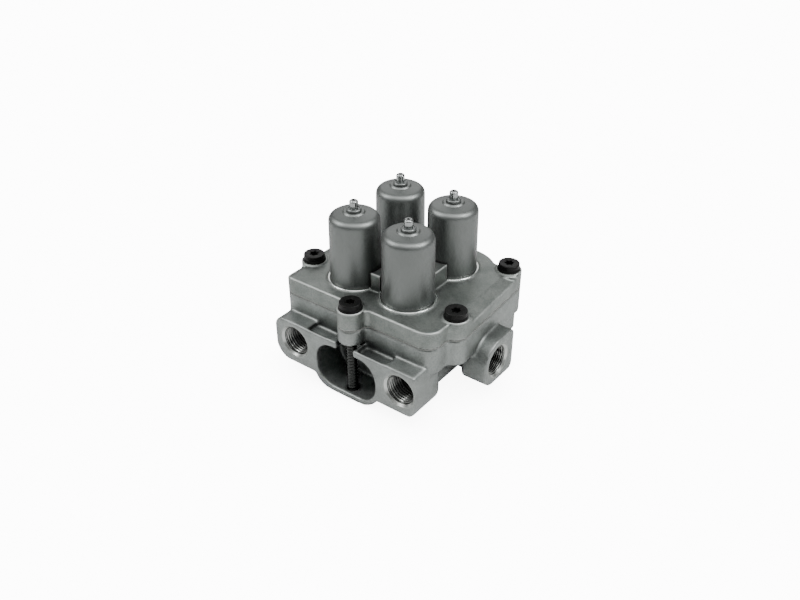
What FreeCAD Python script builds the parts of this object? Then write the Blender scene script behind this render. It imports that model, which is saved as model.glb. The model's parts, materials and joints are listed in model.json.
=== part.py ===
"""Four circuit protection valve of a vehicle's compressed air system.

A die-cast body carries the supply port and one port for each circuit. A die-cast cover holds
four spring caps, and under each cap a spring presses a piston and a diaphragm on a valve seat.
The origin is the centre of the resting face, +Z is up and the two front ports face -Y. Lengths are in mm.
"""

import FreeCAD
import Part

import math
import os

# Land between the recesses of neighbouring circuits, and the planes where the housings meet
CIRCUIT_LAND_X = 3.8
CIRCUIT_LAND_Y = 10.2
JOINT_Z = 57.3
GASKET_THICKNESS = 0.8
COVER_THICKNESS = 12.6

# Outline that body, gasket and cover share
FRONT_WALL_Y = 55.4
FRONT_LEFT_X = 65.6
FRONT_RIGHT_X = 63.5
FRONT_LEFT_ROUND = 6.5
FRONT_RIGHT_ROUND = 11.5
REAR_ARC_RADIUS = 32.6
OUTLINE_BLEND = 4.0
COVER_EDGE_ROUND = 1.2
COVER_BEAD_HEIGHT = 0.9
COVER_BEAD_WIDTH = 1.9
SIDE_SLOPE_TOP_X = 60.0
SIDE_SLOPE_DROP = 4.4
SIDE_SLOPE_LUG_GAP = 1.6

# Screws that clamp the cover
SCREW_SIDE_X = 62.4
SCREW_SIDE_Y = 26.3
SCREW_REAR_X = 58.5
SCREW_REAR_Y = 47.8
SCREW_FRONT_Y = 60.2
SCREW_BACK_Y = 50.5
SCREW_RADIUS = 4.0
SCREW_PASSAGE = 0.5
SCREW_THREAD_GAP = 0.05
SCREW_ENGAGEMENT = 14.0
SCREW_HOLE_SPARE = 2.0
LONG_SCREW_BITE = 3.0
LONG_SCREW_SPARE = 0.3
LUG_RADIUS = 9.4
LUG_RISE = 1.0
LUG_DROP = 20.0
FRONT_LUG_DROP = 11.5
HEAD_FLANGE_RADIUS = 8.4
HEAD_FLANGE_HEIGHT = 1.6
HEAD_RADIUS = 7.7
HEAD_HEIGHT = 5.0
HEAD_CHAMFER = 0.5
SOCKET_RADIUS = 3.3
SOCKET_DEPTH = 3.0
SOCKET_LOBES = 6
SOCKET_LOBE_RADIUS = 0.9

# Central web between the caps
WEB_HALF_X = 31.8
WEB_HALF_Y = 33.4
WEB_HEIGHT = 13.4
WEB_ROUND = 3.0
WEB_CAP_GAP = 1.4

# Body
BODY_WALL_BOTTOM = 21.5
BODY_STEP_INSET = 2.4
FRONT_STEP_Z = 35.4
CORE_HALF_X = 53.5
CORE_HALF_Y = 47.0
CORE_BOTTOM = 14.0
CORE_ROUND = 10.0

# Front bar with two ports and the open hollow between them
BAR_FACE_Y = 68.8
BAR_LEFT_X = 65.3
BAR_RIGHT_X = 59.7
BAR_TOP = 43.9
BAR_BOTTOM = 9.1
BAR_DEPTH = 33.5
BAR_LEFT_ROUND = 13.0
BAR_LEFT_TOP_ROUND = 8.0
BAR_RIGHT_ROUND = 7.0
BAR_TOP_ROUND = 3.0
BAR_BACK_ROUND = 7.0
BULGE_HALF_X = 29.6
BULGE_LEFT_ROUND = 15.0
BULGE_RIGHT_ROUND = 18.0
HOLLOW_HALF_X = 26.3
HOLLOW_BOTTOM = 4.3
HOLLOW_TOP = 38.6
HOLLOW_ROUND = 15.0
HOLLOW_DEPTH = 26.0
HOLLOW_SLOT_HALF_X = 7.4
POCKET_LEFT_INNER_X = 14.0
POCKET_RIGHT_INNER_X = 9.6
POCKET_OUTER_X = 35.0
POCKET_WALL = 2.2
POCKET_FLOOR = 40.2
POCKET_ROUND = 3.0

# Threaded ports, M22 x 1.5
PORT_RADIUS = 11.0
PORT_DEPTH = 18.0
PORT_MOUTH_RADIUS = 12.4
PORT_SPOT_RADIUS = 14.2
PORT_SPOT_DEPTH = 0.6
PORT_Z = 27.9
FRONT_PORT_X = 46.8
SIDE_PORT_FACE_X = 82.1
PORT_BOSS_HALF = 18.0
PORT_BOSS_SHIFT = 1.9
PORT_BOSS_DROP = 16.4
PORT_BOSS_RISE = 17.2
PORT_BOSS_ROUND = 7.5
SIDE_BOSS_ARCH = 16.0
SIDE_BOSS_TOE = 9.5
SIDE_BOSS_CORNER = 4.0
PORT_BOSS_ROOT = 20.5
PORT_NECK_HALF = 14.0
PORT_NECK_DROP = 9.0
PORT_NECK_ROUND = 4.0

# Air passages in the body
PASSAGE_RADIUS = 4.5
PASSAGE_OVERLAP = 2.0
GALLERY_RADIUS = 6.0
SEAT_PASSAGE_RADIUS = 5.0
CHAMBER_RADIUS = 14.5
CHAMBER_DEPTH = 8.0
POST_RADIUS = 9.2
POST_DROP = 2.5

# Feet with M8 mounting threads
FOOT_X = 28.0
FOOT_Y = 36.0
FOOT_RADIUS = 9.5
MOUNT_HOLE_RADIUS = 4.0
MOUNT_HOLE_DEPTH = 14.0

# Spring caps
CAP_BASE_RADIUS = 18.3
CAP_SHOULDER_RADIUS = 17.8
CAP_SHOULDER_Z = 120.7
CAP_SHOULDER_ROUND = 4.2
CAP_TOP_RISE = 1.9
CAP_COLLAR_RADIUS = 7.0
CAP_COLLAR_HEIGHT = 0.9
CAP_WALL = 2.6
CAP_TOP_THICKNESS = 9.0
CAP_BORE_GAP = 0.2
CAP_FLANGE_RADIUS = 20.9
CAP_FLANGE_HEIGHT = 4.0
CAP_FLANGE_GAP = 0.2
CAP_SEAL_RADIUS = 0.85
CAP_SEAL_GAP = 0.05

# Adjusting screw, M8 x 1.25, with its hollow tip, and its round lock nut
ADJUSTER_RADIUS = 4.0
ADJUSTER_CLEARANCE = 0.05
ADJUSTER_CHAMFER = 1.0
ADJUSTER_TIP_RISE = 7.8
ADJUSTER_NECK_RADIUS = 2.2
ADJUSTER_NECK_HEIGHT = 0.4
ADJUSTER_CONE_RADIUS = 2.6
ADJUSTER_CONE_START = 1.1
ADJUSTER_TIP_RADIUS = 2.0
ADJUSTER_TIP_HOLE_RADIUS = 1.3
ADJUSTER_TIP_HOLE_DEPTH = 3.0
LOCK_NUT_RADIUS = 5.6
LOCK_NUT_HEIGHT = 1.9

# Spring, plate, piston, diaphragm and seat of one circuit
SPRING_WIRE_RADIUS = 1.6
SPRING_RADIUS = 11.4
SPRING_TURNS = 7
SPRING_GUIDE_RADIUS = 7.0
PLATE_RADIUS = 14.7
PLATE_THICKNESS = 3.0
PLATE_GUIDE_HEIGHT = 3.0
PLATE_TOP_GAP = 4.0
PISTON_RADIUS = 14.7
PISTON_THICKNESS = 3.0
PISTON_GUIDE_HEIGHT = 8.0
DIAPHRAGM_BEAD_THICKNESS = 2.0
DIAPHRAGM_BEAD_WIDTH = 4.4
DIAPHRAGM_WEB_THICKNESS = 1.0
DIAPHRAGM_WEB_RISE = 0.5
SEAT_RADIUS = 7.4
SEAT_BORE_RADIUS = 5.0
SEAT_HEIGHT = 5.0
SEAT_PRESS_GAP = 0.03

# Two check valves under the web
CHECK_Y = 10.0
CHECK_BORE_RADIUS = 6.0
CHECK_BORE_DEPTH = 17.0
CHECK_POPPET_RADIUS = 5.7
CHECK_POPPET_HEIGHT = 6.0
CHECK_POPPET_TAPER = 2.0
CHECK_POPPET_SEAT_WIDTH = 1.0
CHECK_SPRING_RADIUS = 3.6
CHECK_SPRING_WIRE = 0.5
CHECK_SPRING_TURNS = 6
CHECK_PASSAGE_RADIUS = 2.5
CHECK_OUTLET_RADIUS = 2.0
CHECK_OUTLET_DROP = 5.0
CHECK_POCKET_DEPTH = 3.0

# How far a cutting solid runs past the face that it opens, and how near two places count as one
PAST = 1.0
SAME_PLACE = 0.01

GASKET_TOP = JOINT_Z + GASKET_THICKNESS
COVER_TOP = GASKET_TOP + COVER_THICKNESS
LUG_TOP = COVER_TOP + LUG_RISE
REAR_PORT_FACE_Y = SCREW_FRONT_Y + LUG_RADIUS
BORE_RADIUS = CAP_BASE_RADIUS + CAP_BORE_GAP
RECESS_RADIUS = CAP_FLANGE_RADIUS + CAP_FLANGE_GAP
CIRCUIT_PITCH_X = 2 * RECESS_RADIUS + CIRCUIT_LAND_X
CIRCUIT_PITCH_Y = 2 * RECESS_RADIUS + CIRCUIT_LAND_Y
BEAD_TOP = JOINT_Z + DIAPHRAGM_BEAD_THICKNESS
FLANGE_TOP = BEAD_TOP + CAP_FLANGE_HEIGHT
DIAPHRAGM_UNDER = JOINT_Z + DIAPHRAGM_WEB_RISE
DIAPHRAGM_OVER = DIAPHRAGM_UNDER + DIAPHRAGM_WEB_THICKNESS
PISTON_TOP = DIAPHRAGM_OVER + PISTON_THICKNESS
CAP_TOP_Z = CAP_SHOULDER_Z + CAP_TOP_RISE
COLLAR_TOP = CAP_TOP_Z + CAP_COLLAR_HEIGHT
CAP_CEILING = CAP_TOP_Z - CAP_TOP_THICKNESS
CAP_INNER_RADIUS = CAP_SHOULDER_RADIUS - CAP_WALL
PLATE_TOP = CAP_CEILING - PLATE_TOP_GAP
PLATE_UNDER = PLATE_TOP - PLATE_THICKNESS
NUT_TOP = COLLAR_TOP + LOCK_NUT_HEIGHT
SEAL_Z = FLANGE_TOP + CAP_SEAL_GAP + CAP_SEAL_RADIUS
SEAL_GROOVE = 2 * (CAP_SEAL_RADIUS + CAP_SEAL_GAP)
SCREW_HOLE_RADIUS = SCREW_RADIUS + SCREW_THREAD_GAP
ADJUSTER_HOLE_RADIUS = ADJUSTER_RADIUS + ADJUSTER_CLEARANCE
CHAMBER_FLOOR = JOINT_Z - CHAMBER_DEPTH
POST_TOP = JOINT_Z - POST_DROP
CHECK_FLOOR = JOINT_Z - CHECK_BORE_DEPTH
CHECK_POPPET_TOP = CHECK_FLOOR + CHECK_POPPET_HEIGHT
SEAT_BOTTOM = DIAPHRAGM_UNDER - SEAT_HEIGHT

CIRCUITS = {
    "front_left": (-CIRCUIT_PITCH_X / 2, -CIRCUIT_PITCH_Y / 2),
    "front_right": (CIRCUIT_PITCH_X / 2, -CIRCUIT_PITCH_Y / 2),
    "rear_right": (CIRCUIT_PITCH_X / 2, CIRCUIT_PITCH_Y / 2),
    "rear_left": (-CIRCUIT_PITCH_X / 2, CIRCUIT_PITCH_Y / 2),
}
SHORT_SCREWS = [
    (-SCREW_SIDE_X, -SCREW_SIDE_Y),
    (SCREW_SIDE_X, -SCREW_SIDE_Y),
    (SCREW_REAR_X, SCREW_REAR_Y),
    (-SCREW_REAR_X, SCREW_REAR_Y),
    (0, SCREW_BACK_Y),
]
LONG_SCREW = (0, -SCREW_FRONT_Y)


def point(x, y, z):
    return FreeCAD.Vector(x, y, z)


def on_axis(axis, a, b, along):
    """A point given by its two places across an axis and its place along it."""
    if axis == "x":
        return point(along, a, b)
    if axis == "y":
        return point(a, along, b)
    return point(a, b, along)


def cylinder(x, y, radius, bottom, top):
    return Part.makeCylinder(radius, top - bottom, point(x, y, bottom))


def drilled(start, end, radius):
    """A round passage from one point to another."""
    return Part.makeCylinder(radius, (end - start).Length, start, end - start)


def joined(shapes):
    return shapes[0].multiFuse(shapes[1:]).removeSplitter()


def without(shape, cutters):
    return shape.cut(cutters).removeSplitter()


def round_cornered(axis, corners, start, end):
    """A prism along an axis. Each corner of its section is (a, b, radius)."""
    arcs = []
    for i in range(len(corners)):
        here = on_axis(axis, corners[i][0], corners[i][1], start)
        last = corners[i - 1]
        following = corners[(i + 1) % len(corners)]
        back = (on_axis(axis, last[0], last[1], start) - here).normalize()
        ahead = (on_axis(axis, following[0], following[1], start) - here).normalize()
        half_angle = back.getAngle(ahead) / 2
        radius = corners[i][2]
        reach = radius / math.tan(half_angle)
        inward = (back + ahead).normalize()
        middle = here + inward * (radius / math.sin(half_angle) - radius)
        arcs.append((here + back * reach, middle, here + ahead * reach))
    edges = []
    for i in range(len(arcs)):
        edges.append(Part.Arc(*arcs[i]).toShape())
        edges.append(Part.LineSegment(arcs[i][2], arcs[(i + 1) % len(arcs)][0]).toShape())
    face = Part.Face(Part.Wire(Part.__sortEdges__(edges)))
    return face.extrude(on_axis(axis, 0, 0, end - start))


def round_box(axis, a0, a1, b0, b1, radius, start, end):
    corners = [(a0, b0, radius), (a1, b0, radius), (a1, b1, radius), (a0, b1, radius)]
    return round_cornered(axis, corners, start, end)


def turned(x, y, profile):
    """A solid turned about the vertical line at x, y. The profile's points are (radius, z)."""
    points = [point(x + r, y, z) for r, z in profile]
    face = Part.Face(Part.makePolygon(points + points[:1]))
    return face.revolve(point(x, y, 0), point(0, 0, 1), 360)


def coil(x, y, radius, wire, bottom, top, turns):
    """A round-wire compression spring that stands between two planes."""
    height = top - bottom - 2 * wire
    path = Part.makeHelix(height / turns, height, radius)
    path.translate(point(x, y, bottom + wire))
    section = Part.Wire(Part.makeCircle(wire, point(x + radius, y, bottom + wire), point(0, 1, 0)))
    return Part.Wire(path).makePipeShell([section], True, True)


def tangent_link(first, second, radius):
    """A plate 1 mm thick that is the hull of two equal discs."""
    a = point(first[0], first[1], 0)
    b = point(second[0], second[1], 0)
    side = (b - a).cross(point(0, 0, 1)).normalize() * radius
    strip = Part.Face(Part.makePolygon([a + side, b + side, b - side, a - side, a + side]))
    return [
        strip.extrude(point(0, 0, 1)),
        cylinder(first[0], first[1], radius, 0, 1),
        cylinder(second[0], second[1], radius, 0, 1),
    ]


def housing_outline():
    """The flat outline that body, gasket and cover share: the underside of plates 1 mm thick."""
    front = round_cornered(
        "z",
        [
            (-FRONT_LEFT_X, -FRONT_WALL_Y, FRONT_LEFT_ROUND),
            (FRONT_RIGHT_X, -FRONT_WALL_Y, FRONT_RIGHT_ROUND),
            (FRONT_RIGHT_X, SCREW_REAR_Y, FRONT_LEFT_ROUND),
            (-FRONT_LEFT_X, SCREW_REAR_Y, FRONT_LEFT_ROUND),
        ],
        0,
        1,
    )
    plates = [front, cylinder(0, SCREW_BACK_Y, LUG_RADIUS, 0, 1)]
    for name in ("rear_left", "rear_right"):
        plates.append(cylinder(*CIRCUITS[name], REAR_ARC_RADIUS, 0, 1))
    plates.append(cylinder(*LONG_SCREW, LUG_RADIUS, 0, 1))
    for side in (-1, 1):
        ends = (side * SCREW_SIDE_X, -SCREW_SIDE_Y), (side * SCREW_REAR_X, SCREW_REAR_Y)
        plates += tangent_link(*ends, LUG_RADIUS)
    under = [f for f in joined(plates).Faces if f.BoundBox.ZMax < SAME_PLACE]
    grown = Part.Face(under[0].OuterWire).makeOffset2D(OUTLINE_BLEND)
    return Part.Face(grown.Faces[0].makeOffset2D(-OUTLINE_BLEND).Faces[0].OuterWire)


def raised(face, bottom, top):
    solid = face.extrude(point(0, 0, top - bottom))
    solid.translate(point(0, 0, bottom))
    return solid


def port_cut(axis, a, face, outward):
    """A threaded port with its countersunk mouth and spot face, drilled inward from a face."""
    inward = on_axis(axis, 0, 0, -outward)
    mouth = on_axis(axis, a, PORT_Z, face * outward)
    start = mouth + inward * PORT_SPOT_DEPTH
    sink = PORT_MOUTH_RADIUS - PORT_RADIUS
    return [
        drilled(mouth, mouth + inward * PORT_DEPTH, PORT_RADIUS),
        Part.makeCone(PORT_MOUTH_RADIUS, PORT_RADIUS, sink, start, inward),
        drilled(mouth, start, PORT_SPOT_RADIUS),
    ]


def body_walls():
    """The wall that follows the outline, its step inward below the lugs, and the core under it."""
    outline = housing_outline()
    lug_bottom = JOINT_Z - LUG_DROP
    wall = raised(outline, lug_bottom, JOINT_Z)
    lug_under = cylinder(
        *LONG_SCREW, LUG_RADIUS + OUTLINE_BLEND, lug_bottom - PAST, JOINT_Z - FRONT_LUG_DROP
    )
    behind_wall_face = Part.makeBox(
        2 * FRONT_LEFT_X, FRONT_WALL_Y, LUG_DROP, point(-FRONT_LEFT_X, -FRONT_WALL_Y, lug_bottom)
    )
    wall = wall.cut(lug_under.cut(behind_wall_face))
    stepped = outline.makeOffset2D(-BODY_STEP_INSET).Faces[0]
    lower_wall = raised(stepped, BODY_WALL_BOTTOM, lug_bottom)
    half = SCREW_SIDE_X + LUG_RADIUS
    length = SCREW_FRONT_Y + LUG_RADIUS
    front_relief = Part.makeBox(
        2 * half, length, FRONT_STEP_Z - BODY_WALL_BOTTOM, point(-half, -length, BODY_WALL_BOTTOM)
    )
    core = round_box(
        "z", -CORE_HALF_X, CORE_HALF_X, -CORE_HALF_Y, CORE_HALF_Y, CORE_ROUND, CORE_BOTTOM, FRONT_STEP_Z
    )
    return [wall, lower_wall.cut(front_relief), core]


def front_bar():
    """The bar across the front with its round ends, and the bulge round the hollow."""
    bar_back = BAR_DEPTH - BAR_FACE_Y
    bar = round_cornered(
        "y",
        [
            (-BAR_LEFT_X, BAR_BOTTOM, BAR_LEFT_ROUND),
            (BAR_RIGHT_X, BAR_BOTTOM, BAR_RIGHT_ROUND),
            (BAR_RIGHT_X, BAR_TOP, BAR_TOP_ROUND),
            (-BAR_LEFT_X, BAR_TOP, BAR_LEFT_TOP_ROUND),
        ],
        -BAR_FACE_Y,
        bar_back,
    )
    rim = [e for e in bar.Edges if e.BoundBox.YMin > bar_back - SAME_PLACE]
    bar = bar.makeFillet(BAR_BACK_ROUND, rim)
    bulge = round_cornered(
        "y",
        [
            (-BULGE_HALF_X, 0, BULGE_LEFT_ROUND),
            (BULGE_HALF_X, 0, BULGE_RIGHT_ROUND),
            (BULGE_HALF_X, HOLLOW_TOP, BULGE_LEFT_ROUND),
            (-BULGE_HALF_X, HOLLOW_TOP, BULGE_LEFT_ROUND),
        ],
        -BAR_FACE_Y,
        bar_back,
    )
    return [bar, bulge]


def port_bosses():
    """A boss for each port on the sides and the back. The side ones are arched towards the front."""
    bosses = []
    bottom = PORT_Z - PORT_BOSS_DROP
    top = PORT_Z + PORT_BOSS_RISE
    corners = [
        (PORT_BOSS_SHIFT - PORT_BOSS_HALF, bottom, SIDE_BOSS_TOE),
        (PORT_BOSS_SHIFT + PORT_BOSS_HALF, bottom, SIDE_BOSS_CORNER),
        (PORT_BOSS_SHIFT + PORT_BOSS_HALF, top, SIDE_BOSS_CORNER),
        (PORT_BOSS_SHIFT - PORT_BOSS_HALF, top, SIDE_BOSS_ARCH),
    ]
    for side in (-1, 1):
        reach = sorted((side * SIDE_PORT_FACE_X, side * (SIDE_PORT_FACE_X - PORT_BOSS_ROOT)))
        bosses.append(round_cornered("x", corners, *reach))
        neck = sorted((side * (SIDE_PORT_FACE_X - PORT_DEPTH), side * (CORE_HALF_X - CORE_ROUND)))
        neck_bottom = PORT_Z - PORT_NECK_DROP
        bosses.append(
            round_box("x", -PORT_NECK_HALF, PORT_NECK_HALF, neck_bottom, FRONT_STEP_Z, PORT_NECK_ROUND, *neck)
        )
    rear = (REAR_PORT_FACE_Y - PORT_BOSS_ROOT, REAR_PORT_FACE_Y)
    bosses.append(round_box("y", -PORT_BOSS_HALF, PORT_BOSS_HALF, bottom, top, PORT_BOSS_ROUND, *rear))
    return bosses


def front_openings():
    """The hollow behind the long screw, its slot under the lug, and the two pockets of the bar."""
    front = -BAR_FACE_Y
    hollow = round_box(
        "y", -HOLLOW_HALF_X, HOLLOW_HALF_X, HOLLOW_BOTTOM, HOLLOW_TOP, HOLLOW_ROUND,
        front - PAST, front + HOLLOW_DEPTH,
    )
    slot = Part.makeBox(
        2 * HOLLOW_SLOT_HALF_X,
        BAR_FACE_Y - FRONT_WALL_Y + PAST,
        JOINT_Z - FRONT_LUG_DROP - PORT_Z,
        point(-HOLLOW_SLOT_HALF_X, front - PAST, PORT_Z),
    )
    openings = [hollow, slot]
    depth = (front + POCKET_WALL, -FRONT_WALL_Y)
    for span in ((-POCKET_OUTER_X, -POCKET_LEFT_INNER_X), (POCKET_RIGHT_INNER_X, POCKET_OUTER_X)):
        openings.append(round_box("z", *span, *depth, POCKET_ROUND, POCKET_FLOOR, BAR_TOP + PAST))
    return openings


def circuit_passages(name, x, y):
    """The chamber under one circuit's diaphragm, the seat's place in it, and its two air passages."""
    side = math.copysign(1, x)
    chamber = cylinder(x, y, CHAMBER_RADIUS, CHAMBER_FLOOR, JOINT_Z + PAST)
    if name.startswith("front"):
        port_end = point(side * FRONT_PORT_X, PORT_DEPTH - PASSAGE_OVERLAP - BAR_FACE_Y, PORT_Z)
    else:
        port_end = point(side * (SIDE_PORT_FACE_X - PORT_DEPTH + PASSAGE_OVERLAP), 0, PORT_Z)
    ring = (CHAMBER_RADIUS + POST_RADIUS) / 2
    chamber_end = point(x + side * ring, y, CHAMBER_FLOOR + PAST)
    return [
        chamber.cut(cylinder(x, y, POST_RADIUS, CHAMBER_FLOOR - PAST, POST_TOP)),
        cylinder(x, y, SEAT_PASSAGE_RADIUS, PORT_Z, JOINT_Z),
        cylinder(x, y, SEAT_RADIUS + SEAT_PRESS_GAP, SEAT_BOTTOM, JOINT_Z),
        drilled(point(0, y, PORT_Z), point(x, y, PORT_Z), SEAT_PASSAGE_RADIUS),
        drilled(port_end, chamber_end, PASSAGE_RADIUS),
    ]


def check_valve_passages(side):
    """The bore of one check valve, its inlet from the gallery, and an outlet to each chamber beside it."""
    y = side * CHECK_Y
    outlet_z = JOINT_Z - CHECK_OUTLET_DROP
    cuts = [
        cylinder(0, y, CHECK_BORE_RADIUS, CHECK_FLOOR, JOINT_Z + PAST),
        cylinder(0, y, CHECK_PASSAGE_RADIUS, PORT_Z, CHECK_FLOOR + PAST),
    ]
    for across in (-1, 1):
        middle = point(0, y, outlet_z)
        towards = point(across * CIRCUIT_PITCH_X / 2, side * CIRCUIT_PITCH_Y / 2, outlet_z) - middle
        reach = towards.Length - CHAMBER_RADIUS + PAST
        cuts.append(drilled(middle, middle + towards.normalize() * reach, CHECK_OUTLET_RADIUS))
    return cuts


def lower_body():
    feet = [cylinder(side * FOOT_X, FOOT_Y, FOOT_RADIUS, 0, CORE_BOTTOM + PAST) for side in (-1, 1)]
    body = joined(body_walls() + front_bar() + port_bosses() + feet)

    cuts = front_openings()
    for side in (-1, 1):
        cuts += port_cut("y", side * FRONT_PORT_X, BAR_FACE_Y, -1)
        cuts += port_cut("x", 0, SIDE_PORT_FACE_X, side)
        cuts.append(cylinder(side * FOOT_X, FOOT_Y, MOUNT_HOLE_RADIUS, -PAST, MOUNT_HOLE_DEPTH))
        cuts += check_valve_passages(side)
    cuts += port_cut("y", 0, REAR_PORT_FACE_Y, 1)
    gallery_start = point(0, REAR_PORT_FACE_Y - PORT_DEPTH + PAST, PORT_Z)
    gallery_end = point(0, -CIRCUIT_PITCH_Y / 2, PORT_Z)
    cuts.append(drilled(gallery_start, gallery_end, GALLERY_RADIUS))
    for name, (x, y) in CIRCUITS.items():
        cuts += circuit_passages(name, x, y)

    hole_bottom = JOINT_Z - SCREW_ENGAGEMENT - SCREW_HOLE_SPARE
    for x, y in SHORT_SCREWS:
        cuts.append(cylinder(x, y, SCREW_HOLE_RADIUS, hole_bottom, JOINT_Z + PAST))
    cuts.append(cylinder(*LONG_SCREW, SCREW_RADIUS + SCREW_PASSAGE, HOLLOW_TOP - PAST, JOINT_Z + PAST))
    long_hole_bottom = HOLLOW_BOTTOM - LONG_SCREW_BITE - LONG_SCREW_SPARE
    cuts.append(cylinder(*LONG_SCREW, SCREW_HOLE_RADIUS, long_hole_bottom, HOLLOW_TOP))
    return without(body, cuts)


def housing_gasket():
    gasket = raised(housing_outline(), JOINT_Z, GASKET_TOP)
    cuts = [cylinder(x, y, RECESS_RADIUS, JOINT_Z, GASKET_TOP) for x, y in CIRCUITS.values()]
    for x, y in SHORT_SCREWS + [LONG_SCREW]:
        cuts.append(cylinder(x, y, SCREW_RADIUS + SCREW_PASSAGE, JOINT_Z, GASKET_TOP))
    for side in (-1, 1):
        cuts.append(cylinder(0, side * CHECK_Y, CHECK_BORE_RADIUS, JOINT_Z, GASKET_TOP))
    return without(gasket, cuts)


def side_slope(side):
    """What is cut away where the cover slopes down to its side. On the left it starts at the front."""
    front = SCREW_SIDE_Y if side > 0 else FRONT_WALL_Y + PAST
    outer = SCREW_SIDE_X + LUG_RADIUS + PAST
    run = outer - SIDE_SLOPE_TOP_X
    corners = [
        point(side * SIDE_SLOPE_TOP_X, -front, COVER_TOP),
        point(side * outer, -front, COVER_TOP - SIDE_SLOPE_DROP * run / (run - PAST)),
        point(side * outer, -front, LUG_TOP + PAST),
        point(side * SIDE_SLOPE_TOP_X, -front, LUG_TOP + PAST),
    ]
    section = Part.Face(Part.makePolygon(corners + corners[:1]))
    wedge = section.extrude(point(0, SCREW_REAR_Y + front, 0))
    kept = LUG_RADIUS + SIDE_SLOPE_LUG_GAP
    columns = [
        cylinder(side * SCREW_SIDE_X, -SCREW_SIDE_Y, kept, GASKET_TOP, LUG_TOP + 2 * PAST),
        cylinder(side * SCREW_REAR_X, SCREW_REAR_Y, kept, GASKET_TOP, LUG_TOP + 2 * PAST),
    ]
    return wedge.cut(columns)


def upper_housing():
    cover = raised(housing_outline(), GASKET_TOP, COVER_TOP)
    rim = [e for e in cover.Edges if e.BoundBox.ZMin > COVER_TOP - SAME_PLACE]
    cover = cover.makeFillet(COVER_EDGE_ROUND, rim)
    cover = cover.cut([side_slope(-1), side_slope(1)])
    web_top = COVER_TOP + WEB_HEIGHT
    web = round_box(
        "z", -WEB_HALF_X, WEB_HALF_X, -WEB_HALF_Y, WEB_HALF_Y, WEB_ROUND, COVER_TOP - PAST, web_top
    )
    adds = [
        cylinder(x, y, LUG_RADIUS, COVER_TOP - COVER_THICKNESS / 2, LUG_TOP)
        for x, y in SHORT_SCREWS + [LONG_SCREW]
    ]
    for x, y in CIRCUITS.values():
        web = web.cut(cylinder(x, y, BORE_RADIUS + WEB_CAP_GAP, COVER_TOP, web_top + PAST))
        bead_top = COVER_TOP + COVER_BEAD_HEIGHT
        adds.append(cylinder(x, y, BORE_RADIUS + COVER_BEAD_WIDTH, COVER_TOP - PAST, bead_top))
    cover = joined([cover, web] + adds)

    cuts = []
    for x, y in CIRCUITS.values():
        cuts.append(cylinder(x, y, BORE_RADIUS, GASKET_TOP - PAST, web_top + PAST))
        cuts.append(cylinder(x, y, RECESS_RADIUS, GASKET_TOP - PAST, FLANGE_TOP))
        cuts.append(cylinder(x, y, CAP_BASE_RADIUS + SEAL_GROOVE, FLANGE_TOP, FLANGE_TOP + SEAL_GROOVE))
    for x, y in SHORT_SCREWS + [LONG_SCREW]:
        cuts.append(cylinder(x, y, SCREW_RADIUS + SCREW_PASSAGE, GASKET_TOP - PAST, LUG_TOP + PAST))
    for side in (-1, 1):
        cuts.append(
            cylinder(0, side * CHECK_Y, CHECK_BORE_RADIUS, GASKET_TOP - PAST, GASKET_TOP + CHECK_POCKET_DEPTH)
        )
    return without(cover, cuts)


def flange_screw(x, y, tip_z):
    """A black flange screw with a six-lobed socket. It stands with its head on a lug."""
    head_top = LUG_TOP + HEAD_HEIGHT
    head = turned(
        x, y,
        [
            (0, LUG_TOP),
            (HEAD_FLANGE_RADIUS, LUG_TOP),
            (HEAD_FLANGE_RADIUS, LUG_TOP + HEAD_FLANGE_HEIGHT / 2),
            (HEAD_RADIUS, LUG_TOP + HEAD_FLANGE_HEIGHT),
            (HEAD_RADIUS, head_top - HEAD_CHAMFER),
            (HEAD_RADIUS - HEAD_CHAMFER, head_top),
            (0, head_top),
        ],
    )
    shank = cylinder(x, y, SCREW_RADIUS, tip_z, LUG_TOP)
    socket = (head_top - SOCKET_DEPTH, head_top + PAST)
    reach = SOCKET_RADIUS - SOCKET_LOBE_RADIUS
    cuts = [cylinder(x, y, reach, *socket)]
    for i in range(SOCKET_LOBES):
        angle = 2 * math.pi * i / SOCKET_LOBES
        lobe_x = x + reach * math.cos(angle)
        lobe_y = y + reach * math.sin(angle)
        cuts.append(cylinder(lobe_x, lobe_y, SOCKET_LOBE_RADIUS, *socket))
    return without(joined([head, shank]), cuts)


def spring_cap(x, y):
    straight_top = CAP_SHOULDER_Z - CAP_SHOULDER_ROUND
    cap = turned(
        x, y,
        [
            (CAP_INNER_RADIUS, BEAD_TOP),
            (CAP_FLANGE_RADIUS, BEAD_TOP),
            (CAP_FLANGE_RADIUS, FLANGE_TOP),
            (CAP_BASE_RADIUS, FLANGE_TOP),
            (CAP_BASE_RADIUS, COVER_TOP),
            (CAP_SHOULDER_RADIUS, straight_top),
            (CAP_SHOULDER_RADIUS, CAP_SHOULDER_Z),
            (CAP_COLLAR_RADIUS, CAP_TOP_Z),
            (CAP_COLLAR_RADIUS, COLLAR_TOP),
            (ADJUSTER_HOLE_RADIUS, COLLAR_TOP),
            (ADJUSTER_HOLE_RADIUS, CAP_CEILING),
            (CAP_INNER_RADIUS, CAP_CEILING),
        ],
    )
    level = [e for e in cap.Edges if e.BoundBox.ZLength < SAME_PLACE]
    shoulder = [e for e in level if abs(e.BoundBox.ZMin - CAP_SHOULDER_Z) < SAME_PLACE]
    return cap.makeFillet(CAP_SHOULDER_ROUND, shoulder)


def cap_seal(x, y):
    ring_radius = CAP_BASE_RADIUS + CAP_SEAL_GAP + CAP_SEAL_RADIUS
    return Part.makeTorus(ring_radius, CAP_SEAL_RADIUS, point(x, y, SEAL_Z))


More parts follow.
